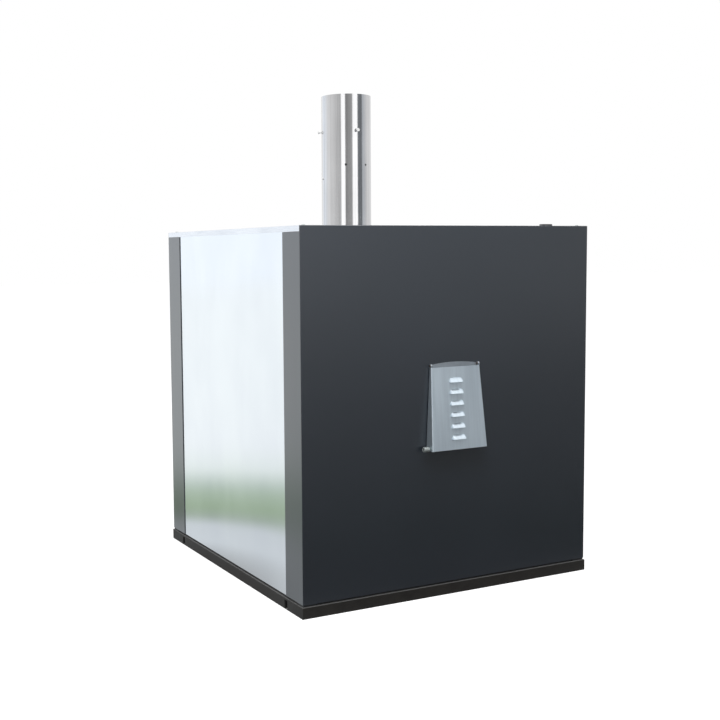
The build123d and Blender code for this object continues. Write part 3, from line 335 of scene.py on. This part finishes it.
# %% [markdown]
# ## Effects that several finishes share
#
# A finish is more than a colour. Rolled sheet has fine lines along the rolling
# direction, paint has a skin like orange peel, and brick is mottled. Each of
# these is built once as a node group with named sockets, and each material
# places it with its own numbers. The groups read Object coordinates, which are
# metres in the heater's own frame, so a pattern keeps its real scale.
#
# Both groups end in the same way. A share between 0 and 1 picks a colour
# between the dark one and the light one, and moves the roughness with it.

# %% Makers of node groups
def new_group(name, takes, gives):
    """An empty shader group with (type, name, value) inputs and (type, name) outputs."""
    group = bpy.data.node_groups.new(name, "ShaderNodeTree")
    for kind, label, value in takes:
        socket = group.interface.new_socket(label, in_out="INPUT", socket_type=kind)
        socket.default_value = value
    for kind, label in gives:
        group.interface.new_socket(label, in_out="OUTPUT", socket_type=kind)
    group.nodes.new("NodeGroupInput").name = "takes"
    group.nodes.new("NodeGroupOutput").name = "gives"
    return group


def noise(tree, place, scale, detail):
    """A noise pattern read at a place."""
    node = add_node(tree, "TexNoise")
    inputs = [node.inputs[name] for name in ("Vector", "Scale", "Detail")]
    feed_all(tree, (place, scale, detail), inputs)
    return node.outputs["Fac"]


def weighed(tree, first, first_part, second, second_part):
    """The sum of two patterns, each times its part."""
    first_share = maths(tree, "MULTIPLY", first, first_part)
    return maths(tree, "ADD", first_share, maths(tree, "MULTIPLY", second, second_part))


def end_group(group, share, start, full, height):
    """Ends a group. A share, stretched between two limits, sets its colour and roughness."""
    takes, gives = group.nodes["takes"].outputs, group.nodes["gives"].inputs
    share = mapped(group, share, start, full)
    swing = maths(group, "SUBTRACT", share, 0.5)
    swing = maths(group, "MULTIPLY", swing, takes["Roughness Spread"])
    feed(group, mixed(group, share, takes["Dark Colour"], takes["Light Colour"]), gives["Colour"])
    feed(group, maths(group, "ADD", swing, takes["Roughness"], clamp=True), gives["Roughness"])
    feed(group, height, gives["Height"])


FINISH_GIVES = (
    ("NodeSocketColor", "Colour"),
    ("NodeSocketFloat", "Roughness"),
    ("NodeSocketFloat", "Height"),
)
print("group helpers ready")

# %% [markdown]
# Sheet metal gets fine lines that run one way. Noise on coordinates that are
# squeezed across the lines and stretched along them does this. The Stretch
# input says how much each axis is squeezed, so one group serves a pipe or a
# panel, whose lines run up it, and the lid, whose lines run from front to rear.
# Faint clouds keep the lines from looking drawn with a ruler.

# %% Rolled sheet
METAL_TAKES = (
    ("NodeSocketColor", "Light Colour", grey(0.7)),
    ("NodeSocketColor", "Dark Colour", grey(0.5)),
    ("NodeSocketVector", "Stretch", (20.0, 20.0, 900.0)),
    ("NodeSocketFloat", "Roughness", 0.3),
    ("NodeSocketFloat", "Roughness Spread", 0.1),
)
LINE_DETAIL, LINE_PART = 4.0, 0.6
SHEET_CLOUD_SCALE, SHEET_CLOUD_DETAIL, SHEET_CLOUD_PART = 7.0, 2.0, 0.4
SHEET_DARK, SHEET_LIGHT = 0.35, 0.65

rolled_sheet = new_group("rolled_sheet", METAL_TAKES, FINISH_GIVES)
where = add_node(rolled_sheet, "TexCoord").outputs["Object"]
squeeze = add_node(rolled_sheet, "VectorMath", operation="MULTIPLY")
stretch = rolled_sheet.nodes["takes"].outputs["Stretch"]
feed_all(rolled_sheet, (where, stretch), squeeze.inputs)
lines = noise(rolled_sheet, squeeze.outputs[0], 1.0, LINE_DETAIL)
clouds = noise(rolled_sheet, where, SHEET_CLOUD_SCALE, SHEET_CLOUD_DETAIL)
share = weighed(rolled_sheet, lines, LINE_PART, clouds, SHEET_CLOUD_PART)
end_group(rolled_sheet, share, SHEET_DARK, SHEET_LIGHT, lines)
print("group:", rolled_sheet.name)

# %% [markdown]
# Paint, mill scale, brick and board are all mottled, only at different scales
# and contrasts. One group mixes two colours by broad clouds and adds fine
# specks. Its height output feeds a Bump node in each material.

# %% Mottled skin
SKIN_TAKES = (
    ("NodeSocketColor", "Light Colour", grey(0.7)),
    ("NodeSocketColor", "Dark Colour", grey(0.5)),
    ("NodeSocketFloat", "Cloud Scale", 8.0),
    ("NodeSocketFloat", "Speck Scale", 400.0),
    ("NodeSocketFloat", "Speck Share", 0.4),
    ("NodeSocketFloat", "Roughness", 0.6),
    ("NodeSocketFloat", "Roughness Spread", 0.1),
)
SKIN_CLOUD_DETAIL, SPECK_DETAIL = 4.0, 2.0
SKIN_DARK, SKIN_LIGHT = 0.3, 0.7

mottled_skin = new_group("mottled_skin", SKIN_TAKES, FINISH_GIVES)
takes = mottled_skin.nodes["takes"].outputs
where = add_node(mottled_skin, "TexCoord").outputs["Object"]
clouds = noise(mottled_skin, where, takes["Cloud Scale"], SKIN_CLOUD_DETAIL)
specks = noise(mottled_skin, where, takes["Speck Scale"], SPECK_DETAIL)
rest = maths(mottled_skin, "SUBTRACT", 1.0, takes["Speck Share"])
share = weighed(mottled_skin, clouds, rest, specks, takes["Speck Share"])
end_group(mottled_skin, share, SKIN_DARK, SKIN_LIGHT, specks)
print("group:", mottled_skin.name)

# %% [markdown]
# A finish places one group in a new material, gives its inputs their values and joins its outputs to
# the shader. What is the same all over the surface, such as how metallic it is, is set on the
# shader's own sockets. Where a surface is painted lighter or darker near its top, as a painted
# highlight, a second colour grows into the first with height.

# %% A maker of finishes
def finish(name, group, values, metallic=0.0, bump=0.0, depth=0.0002, **shader_values):
    """A material from a group, with values for its inputs and for the shader's own sockets."""
    material = bpy.data.materials.new(name)
    material.use_nodes = True
    tree = material.node_tree
    shader = tree.nodes["Principled BSDF"]
    skin = add_node(tree, "Group", node_tree=group)
    for label, value in values.items():
        is_colour = skin.inputs[label].type == "RGBA"
        skin.inputs[label].default_value = (*value, 1.0) if is_colour else value
    feed(tree, skin.outputs["Colour"], shader.inputs["Base Color"])
    feed(tree, skin.outputs["Roughness"], shader.inputs["Roughness"])
    if bump:
        dents = add_node(tree, "Bump")
        inputs = [dents.inputs[label] for label in ("Strength", "Distance", "Height")]
        feed_all(tree, (bump, depth, skin.outputs["Height"]), inputs)
        feed(tree, dents.outputs["Normal"], shader.inputs["Normal"])
    shader.inputs["Metallic"].default_value = metallic
    for label, value in shader_values.items():
        shader.inputs[label.replace("_", " ")].default_value = value
    return material


def dress(material, *names):
    """Gives a material to CAD nodes or new pieces, in place of any they had."""
    for name in names:
        mesh = bpy.data.objects[name].data
        mesh.materials.clear()
        mesh.materials.append(material)
    print(material.name, "on", len(names))


def change_above(material, start, full, colour, share=1.0):
    """Mixes a share of another colour into a finish, growing between two heights on the heater."""
    tree = material.node_tree
    base_colour = tree.nodes["Principled BSDF"].inputs["Base Color"]
    below = base_colour.links[0].from_socket
    place = parts_of(tree, add_node(tree, "TexCoord").outputs["Object"])
    rise = mapped(tree, place["Z"], start, full, 0.0, share)
    feed(tree, mixed(tree, rise, below, (*colour, 1.0)), base_colour)


print("finish, dress and change_above ready")

# %% [markdown]
# ## The jacket
#
# The front and the rear are folded sheet with an anthracite powder coat: a
# dark blue-grey, half matt, with the faint orange-peel skin of baked powder.
# One rough layer would look chalky, so a smoother clear coat lies over it and
# gives the soft sheen that grows towards the grazed sides.

# %% Powder coat
powder_coat = finish(
    "powder_coat",
    mottled_skin,
    {
        "Light Colour": (0.018, 0.024, 0.034),
        "Dark Colour": (0.015, 0.02, 0.028),
        "Cloud Scale": 3.0,
        "Speck Scale": 420.0,
        "Speck Share": 0.35,
        "Roughness": 0.38,
        "Roughness Spread": 0.06,
    },
    bump=0.12,
    Coat_Weight=1.0,
    Coat_Roughness=0.28,
    Coat_IOR=1.6,
)
dress(powder_coat, "front_panel", "rear_panel")

# %% [markdown]
# The side panels are bright stainless, still so smooth that they mirror the
# room as soft shapes. A perfect mirror would show the rings of the ground as
# hard lines, so a little roughness blurs them, as the real sheet does.

# %% Bright stainless
bright_sheet = finish(
    "bright_sheet",
    rolled_sheet,
    {
        "Light Colour": (0.85, 0.87, 0.89),
        "Dark Colour": (0.79, 0.81, 0.84),
        "Stretch": (6.0, 6.0, 1.5),
        "Roughness": 0.14,
        "Roughness Spread": 0.06,
    },
    metallic=1.0,
)
dress(bright_sheet, "left_panel", "right_panel")

# %% [markdown]
# The lid is the same steel, brushed from front to rear. Its turned-down edge keeps a brighter colour
# than its top, a painted highlight for the bright reflection along it. The colour changes in the
# last millimetre or so under the top face.

# %% The lid's steel
SKIRT_HIGHLIGHT_START, SKIRT_HIGHLIGHT_FULL = 0.0012, 0.0004
LID_TOP_COLOUR, LID_TOP_SHARE = (0.54, 0.55, 0.57), 0.6
lid_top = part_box("lid")[1].z

lid_sheet = finish(
    "lid_sheet",
    rolled_sheet,
    {
        "Light Colour": (0.9, 0.91, 0.93),
        "Dark Colour": (0.68, 0.69, 0.72),
        "Stretch": (900.0, 14.0, 900.0),
        "Roughness": 0.26,
        "Roughness Spread": 0.12,
    },
    metallic=1.0,
    bump=0.05,
)
# Painted highlight: the top is mixed darker, so the skirt below it stays lighter.
change_above(lid_sheet, lid_top - SKIRT_HIGHLIGHT_START, lid_top - SKIRT_HIGHLIGHT_FULL, LID_TOP_COLOUR, LID_TOP_SHARE)
dress(lid_sheet, "lid")

# %% [markdown]
# The flue pipe and its collar are plain stainless too. The pipe is nearly bright, so the light and
# dark bands of the world stand in it as upright stripes, with a fine grain along them. The heads of
# its set screws and its rivet are frosted steel; their near-white colour is a painted highlight laid
# over the steel's own pale grey.

# %% Pipe steel
pipe_steel = finish(
    "pipe_steel",
    rolled_sheet,
    {
        "Light Colour": (0.72, 0.72, 0.73),
        "Dark Colour": (0.6, 0.6, 0.61),
        "Stretch": (260.0, 260.0, 3.0),
        "Roughness": 0.1,
        "Roughness Spread": 0.06,
    },
    metallic=1.0,
)
dress(pipe_steel, "flue_pipe", "flue_collar")

screw_highlight_steel = finish(
    "screw_highlight_steel",
    rolled_sheet,
    {
        "Light Colour": (0.9, 0.9, 0.9),
        "Dark Colour": (0.8, 0.8, 0.8),
        "Stretch": (300.0, 300.0, 300.0),
        "Roughness": 0.5,
        "Roughness Spread": 0.1,
    },
    metallic=0.6,
)
# Partly painted highlight: the near-white colour makes the heads read as glints.
dress(screw_highlight_steel, "flue_screws", "flue_rivet")

# %% [markdown]
# The hatch is brushed and handled, so it is rougher than the pipe. The duct that it closes is a
# darker copy of the same steel, painted shade for the shadow and dark reflection behind the flap.
# Neither is fully metallic in the shader, which keeps them from turning black where the room in
# front of them is dark.

# %% Hatch steel
hatch_steel = finish(
    "hatch_steel",
    rolled_sheet,
    {
        "Light Colour": (0.66, 0.75, 0.82),
        "Dark Colour": (0.58, 0.66, 0.73),
        "Stretch": (150.0, 14.0, 6.0),
        "Roughness": 0.36,
        "Roughness Spread": 0.1,
    },
    metallic=0.85,
    bump=0.03,
)
dress(hatch_steel, "hatch_flap")

shaded_duct_steel = finish(
    "shaded_duct_steel",
    rolled_sheet,
    {
        "Light Colour": (0.5, 0.55, 0.6),
        "Dark Colour": (0.4, 0.44, 0.49),
        "Stretch": (40.0, 40.0, 40.0),
        "Roughness": 0.42,
        "Roughness Spread": 0.12,
    },
    metallic=0.85,
    bump=0.05,
)
# Painted shade: the duct's steel is a darker copy of the hatch's.
dress(shaded_duct_steel, "hatch_frame")

# %% [markdown]
# Zinc-plated pieces are pale, half matt and a touch green: the lift bolt with its sleeve and nut,
# and the small fixings. Sheet pieces near the fire have lost their shine. The hatch's rivets take
# the same dark finish as painted shade, so their heads stay dim.

# %% Plated and heated steel, and painted shade
zinc_plate = finish(
    "zinc_plate",
    rolled_sheet,
    {
        "Light Colour": (0.5, 0.54, 0.53),
        "Dark Colour": (0.42, 0.46, 0.45),
        "Stretch": (160.0, 160.0, 160.0),
        "Roughness": 0.55,
        "Roughness Spread": 0.1,
    },
    metallic=0.7,
    bump=0.05,
)
dress(
    zinc_plate,
    "lift_bolt", "lift_sleeve", "lift_nut", "cleanout_pin", "cassette_nuts", "lid_screws",
)

heated_sheet_and_shade = finish(
    "heated_sheet_and_shade",
    mottled_skin,
    {
        "Light Colour": (0.34, 0.31, 0.28),
        "Dark Colour": (0.2, 0.17, 0.16),
        "Cloud Scale": 14.0,
        "Speck Scale": 260.0,
        "Speck Share": 0.3,
        "Roughness": 0.5,
        "Roughness Spread": 0.2,
    },
    metallic=0.9,
    bump=0.1,
)
# Painted shade: hatch_rivets get this dark finish so that they catch no highlight.
dress(
    heated_sheet_and_shade,
    "hatch_retainer", "hatch_shield", "hatch_rivets", "shield_spacers", "flue_socket",
)

# %% [markdown]
# The base is hot-rolled steel left as it came from the mill: nearly black, with a brown cast and a
# rough skin. The top edges of its rails get a lighter colour, a painted highlight where light
# catches them.

# %% Mill scale and a painted highlight
EDGE_HIGHLIGHT_START, EDGE_HIGHLIGHT_FULL = 0.0016, 0.0006
EDGE_HIGHLIGHT_COLOUR = (0.12, 0.12, 0.12)

mill_scale = finish(
    "mill_scale",
    mottled_skin,
    {
        "Light Colour": (0.03, 0.027, 0.024),
        "Dark Colour": (0.014, 0.0125, 0.011),
        "Cloud Scale": 22.0,
        "Speck Scale": 300.0,
        "Speck Share": 0.45,
        "Roughness": 0.6,
        "Roughness Spread": 0.2,
    },
    metallic=0.3,
    bump=0.3,
)
# Painted highlight: a lighter grey along the rails' top edges.
change_above(mill_scale, rail_corner.z - EDGE_HIGHLIGHT_START, rail_corner.z - EDGE_HIGHLIGHT_FULL, EDGE_HIGHLIGHT_COLOUR)
dress(
    mill_scale,
    "base_rail_front", "base_rail_right", "base_rail_rear", "base_rail_left",
    "base_crossbars",
)

# %% [markdown]
# The clean-out's knob and the catch on the lid are plain black paint. The base plate and the corner
# posts get the same black as painted shade, so the gap under the jacket stays dark. The clean-out
# itself is raw cast iron, whose skin is rough from the sand it was poured in.

# %% Black paint, painted shade and cast iron
black_paint_and_shade = finish(
    "black_paint_and_shade",
    mottled_skin,
    {
        "Light Colour": (0.03, 0.031, 0.034),
        "Dark Colour": (0.02, 0.021, 0.023),
        "Cloud Scale": 30.0,
        "Speck Scale": 600.0,
        "Speck Share": 0.4,
        "Roughness": 0.4,
        "Roughness Spread": 0.1,
    },
    bump=0.08,
)
# Painted shade: the base plate and corner posts are black so that the gap under the jacket stays
# dark.
dress(
    black_paint_and_shade,
    "lid_catch", "cleanout_knob", "base_plate",
    "post_front_left", "post_front_right", "post_rear_left", "post_rear_right",
)

cast_iron = finish(
    "cast_iron",
    mottled_skin,
    {
        "Light Colour": (0.07, 0.07, 0.072),
        "Dark Colour": (0.035, 0.035, 0.037),
        "Cloud Scale": 40.0,
        "Speck Scale": 240.0,
        "Speck Share": 0.6,
        "Roughness": 0.6,
        "Roughness Spread": 0.14,
    },
    metallic=0.4,
    bump=0.5,
    depth=0.0004,
)
dress(cast_iron, "cleanout_frame", "cleanout_door")

# %% [markdown]
# ## The core
#
# Firebrick is a warm cream with darker grog, the crushed brick mixed into the
# clay. The blocks near the fire are smoked darker.

# %% Brick
firebrick = finish(
    "firebrick",
    mottled_skin,
    {
        "Light Colour": (0.62, 0.5, 0.35),
        "Dark Colour": (0.42, 0.31, 0.2),
        "Cloud Scale": 16.0,
        "Speck Scale": 150.0,
        "Speck Share": 0.6,
        "Roughness": 0.9,
        "Roughness Spread": 0.08,
    },
    bump=0.5,
    depth=0.0006,
)
dress(
    firebrick,
    "foundation_slab", "front_wall_lower", "front_wall_upper", "outer_wall_left",
    "outer_wall_right", "outer_wall_rear", "partition_wall", "cap_slab",
)

smoked_brick = finish(
    "smoked_brick",
    mottled_skin,
    {
        "Light Colour": (0.4, 0.33, 0.25),
        "Dark Colour": (0.13, 0.11, 0.1),
        "Cloud Scale": 7.0,
        "Speck Scale": 150.0,
        "Speck Share": 0.35,
        "Roughness": 0.92,
        "Roughness Spread": 0.06,
    },
    bump=0.5,
    depth=0.0006,
)
dress(
    smoked_brick,
    "door_block", "firebox_wall_left", "firebox_wall_right", "firebox_roof", "hearth_slab",
    "hearth_support_front", "hearth_support_rear",
)

# %% [markdown]
# The insulation is a pale, chalky board, so it gets soft clouds, and specks
# that hardly stand out.

# %% Board
board_face = finish(
    "board_face",
    mottled_skin,
    {
        "Light Colour": (0.78, 0.76, 0.7),
        "Dark Colour": (0.68, 0.65, 0.59),
        "Cloud Scale": 12.0,
        "Speck Scale": 500.0,
        "Speck Share": 0.3,
        "Roughness": 0.95,
        "Roughness Spread": 0.04,
    },
    bump=0.25,
)
dress(
    board_face,
    "insulation_front", "insulation_rear", "insulation_left", "insulation_right",
    "insulation_bottom", "insulation_top",
)

# %% [markdown]
# ## Rope seals
#
# Doors and pipes on stoves close against a braided glass rope. CAD holds it as
# a plain ring. A braid has strands that wind round it, so here a
# many-lobed outline is carried along the ring's path and turned a little at
# each step. The turning is what makes the strands.

# %% A braided ring
STRANDS = 6
LOBE_POINTS = 24
LOBE_DEPTH = 0.09


def braid(name, path, width, height, turns, side):
    """A closed rope of twisted strands on a flat loop of points. side is square to the loop."""
    ring_mesh = bmesh.new()
    count = len(path)
    loops = []
    for step, point in enumerate(path):
        ahead = (path[(step + 1) % count] - path[step - 1]).normalized()
        across = ahead.cross(side).normalized()
        twist = 2.0 * pi * turns * step / count
        loop = []
        for spot in range(LOBE_POINTS):
            angle = 2.0 * pi * spot / LOBE_POINTS
            reach = 1.0 - LOBE_DEPTH + LOBE_DEPTH * cos(STRANDS * (angle + twist))
            offset = across * (width * cos(angle)) + side * (height * sin(angle))
            loop.append(ring_mesh.verts.new(point + offset * (reach / 2.0)))
        edges = [ring_mesh.edges.new((loop[n - 1], loop[n])) for n in range(LOBE_POINTS)]
        loops.append(edges)
    for step in range(count):
        bmesh.ops.bridge_loops(ring_mesh, edges=loops[step - 1] + loops[step])
    bmesh.ops.recalc_face_normals(ring_mesh, faces=ring_mesh.faces)
    rope = bpy.data.objects.new(name, bpy.data.meshes.new(name))
    ring_mesh.to_mesh(rope.data)
    ring_mesh.free()
    for face in rope.data.polygons:
        face.use_smooth = True
    scene.collection.objects.link(rope)
    print(name, "faces", len(rope.data.polygons))
    return rope


print("strands in a rope:", STRANDS)

# %% [markdown]
# The ropes of the hatch and the clean-out run round upright rectangles with
# small round corners. Each follows the middle of its CAD ring, half a rope
# inside the ring's box, and is a hair thinner than the ring.

# %% The doors' ropes
CORNER_STEPS = 6
ROPE_SLACK = 0.0004
DOOR_SIDE = Vector((0.0, 1.0, 0.0))


def square_loop(low, high, inset, corner, spacing):
    """Points round a rounded rectangle that stands in the XZ plane, an inset inside a box."""
    middle_y = (low.y + high.y) / 2.0
    left, right_side = low.x + inset, high.x - inset
    bottom, top = low.z + inset, high.z - inset
    corners = (
        (right_side - corner, top - corner, 0.0),
        (left + corner, top - corner, 90.0),
        (left + corner, bottom + corner, 180.0),
        (right_side - corner, bottom + corner, 270.0),
    )

    def on_corner(number, turned):
        """The point on a round corner that lies some degrees past the corner's start."""
        x, z, start = corners[number]
        angle = radians(start + turned)
        return Vector((x + corner * cos(angle), middle_y, z + corner * sin(angle)))

    points = []
    for number in range(4):
        points += [on_corner(number, 90.0 * step / CORNER_STEPS) for step in range(CORNER_STEPS + 1)]
        first, last = points[-1], on_corner((number + 1) % 4, 0.0)
        runs = max(2, round((last - first).length / spacing))
        points += [first.lerp(last, step / runs) for step in range(1, runs)]
    return points


def door_braid(node, half_width, corner, spacing, turns):
    """A braid on the path of a door's plain rope ring."""
    low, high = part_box(node)
    path = square_loop(low, high, half_width, corner, spacing)
    width = 2.0 * half_width - ROPE_SLACK
    return braid(node + "_braid", path, width, high.y - low.y, turns, DOOR_SIDE)


cleanout_braid = door_braid("cleanout_rope", half_width=0.005, corner=0.008, spacing=0.004, turns=40)
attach(cleanout_braid, "heater")
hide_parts("cleanout_rope")

hatch_braid = door_braid("hatch_rope", half_width=0.006, corner=0.009, spacing=0.005, turns=48)
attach(hatch_braid, "heater")
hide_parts("hatch_rope")

# %% [markdown]
# The rope at the foot of the flue stands upright in its socket, so its outline
# is taller than it is wide, and its path is a circle.

# %% The flue's rope
FLUE_ROPE_STEPS = 160
FLUE_ROPE_TURNS = 50
FLUE_ROPE_FILL = 0.9
low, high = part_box("flue_rope")
pipe_low, pipe_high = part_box("flue_pipe")
centre = (low + high) / 2.0
rope_outside = (high.x - low.x) / 2.0
pipe_outside = (pipe_high.x - pipe_low.x) / 2.0
rope_middle = (rope_outside + pipe_outside) / 2.0
rope_width = (rope_outside - pipe_outside) * FLUE_ROPE_FILL

circle = []
for step in range(FLUE_ROPE_STEPS):
    angle = 2.0 * pi * step / FLUE_ROPE_STEPS
    circle.append(centre + Vector((cos(angle), sin(angle), 0.0)) * rope_middle)
flue_side = Vector((0.0, 0.0, 1.0))
flue_braid = braid(
    "flue_rope_braid", circle, rope_width, high.z - low.z, FLUE_ROPE_TURNS, flue_side,
)
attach(flue_braid, "heater")
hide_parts("flue_rope")

# %% [markdown]
# Glass rope is off-white and matt, and its loose fibres make it fuzzy. Fine
# specks and a strong bump stand for the fibres.

# %% Glass rope
glass_rope = finish(
    "glass_rope",
    mottled_skin,
    {
        "Light Colour": (0.82, 0.8, 0.74),
        "Dark Colour": (0.62, 0.59, 0.53),
        "Cloud Scale": 60.0,
        "Speck Scale": 1400.0,
        "Speck Share": 0.6,
        "Roughness": 0.9,
        "Roughness Spread": 0.05,
    },
    bump=0.6,
)
dress(glass_rope, "cleanout_rope_braid", "hatch_rope_braid", "flue_rope_braid")

# %% [markdown]
# ## The pipe's seam
#
# The pipe is rolled from sheet and welded along its length. The weld is ground
# nearly flush, so all that shows is a fine raised line down its left side. It
# is a thin upright strip with a rounded outer face, sunk a hair into the pipe.

# %% The flue's weld
SEAM_BEARING = radians(-181.6)
SEAM_HALF = 0.0011
SEAM_PROUD, SEAM_SINK = 0.0003, 0.0003
SEAM_ROUND = 0.8 * SEAM_PROUD
SEAM_END_GAP = 0.001
SEAM_CUTS = 40
SAME_PLACE = 1e-6
collar_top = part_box("flue_collar")[1].z
pipe_middle = (pipe_low + pipe_high) / 2.0
seam_length = pipe_high.z - collar_top - 2.0 * SEAM_END_GAP
seam_reach = pipe_outside + (SEAM_PROUD - SEAM_SINK) / 2.0
seam_size = (SEAM_PROUD + SEAM_SINK, 2.0 * SEAM_HALF, seam_length)


def on_outer_face(edge):
    """Whether an edge runs up or down the strip's outer face, not across it."""
    first, second = (vert.co for vert in edge.verts)
    return min(first.x, second.x) > 0.0 and abs(first.y - second.y) < SAME_PLACE


seam_mesh = bmesh.new()
bmesh.ops.create_cube(seam_mesh, size=1.0)
bmesh.ops.scale(seam_mesh, vec=seam_size, verts=seam_mesh.verts)
upright = [e for e in seam_mesh.edges if abs(e.verts[0].co.z - e.verts[1].co.z) > seam_length / 2.0]
bmesh.ops.subdivide_edges(seam_mesh, edges=upright, cuts=SEAM_CUTS, use_grid_fill=True)
bmesh.ops.bevel(
    seam_mesh, geom=[edge for edge in seam_mesh.edges if on_outer_face(edge)], offset=SEAM_ROUND,
    offset_type="OFFSET", segments=2, profile=0.5, affect="EDGES", material=-1,
)
first_place = (seam_reach, 0.0, collar_top + SEAM_END_GAP + seam_length / 2.0)
bmesh.ops.translate(seam_mesh, vec=first_place, verts=seam_mesh.verts)
turned = Matrix.Rotation(SEAM_BEARING, 3, "Z")
bmesh.ops.rotate(seam_mesh, cent=(0.0, 0.0, 0.0), matrix=turned, verts=seam_mesh.verts)
pipe_axis = (pipe_middle.x, pipe_middle.y, 0.0)
bmesh.ops.translate(seam_mesh, vec=pipe_axis, verts=seam_mesh.verts)
seam = bpy.data.objects.new("flue_weld", bpy.data.meshes.new("flue_weld"))
seam_mesh.to_mesh(seam.data)
seam_mesh.free()
scene.collection.objects.link(seam)
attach(seam, "heater")
dress(pipe_steel, "flue_weld")
print("weld", round(seam_length, 3), "m long")
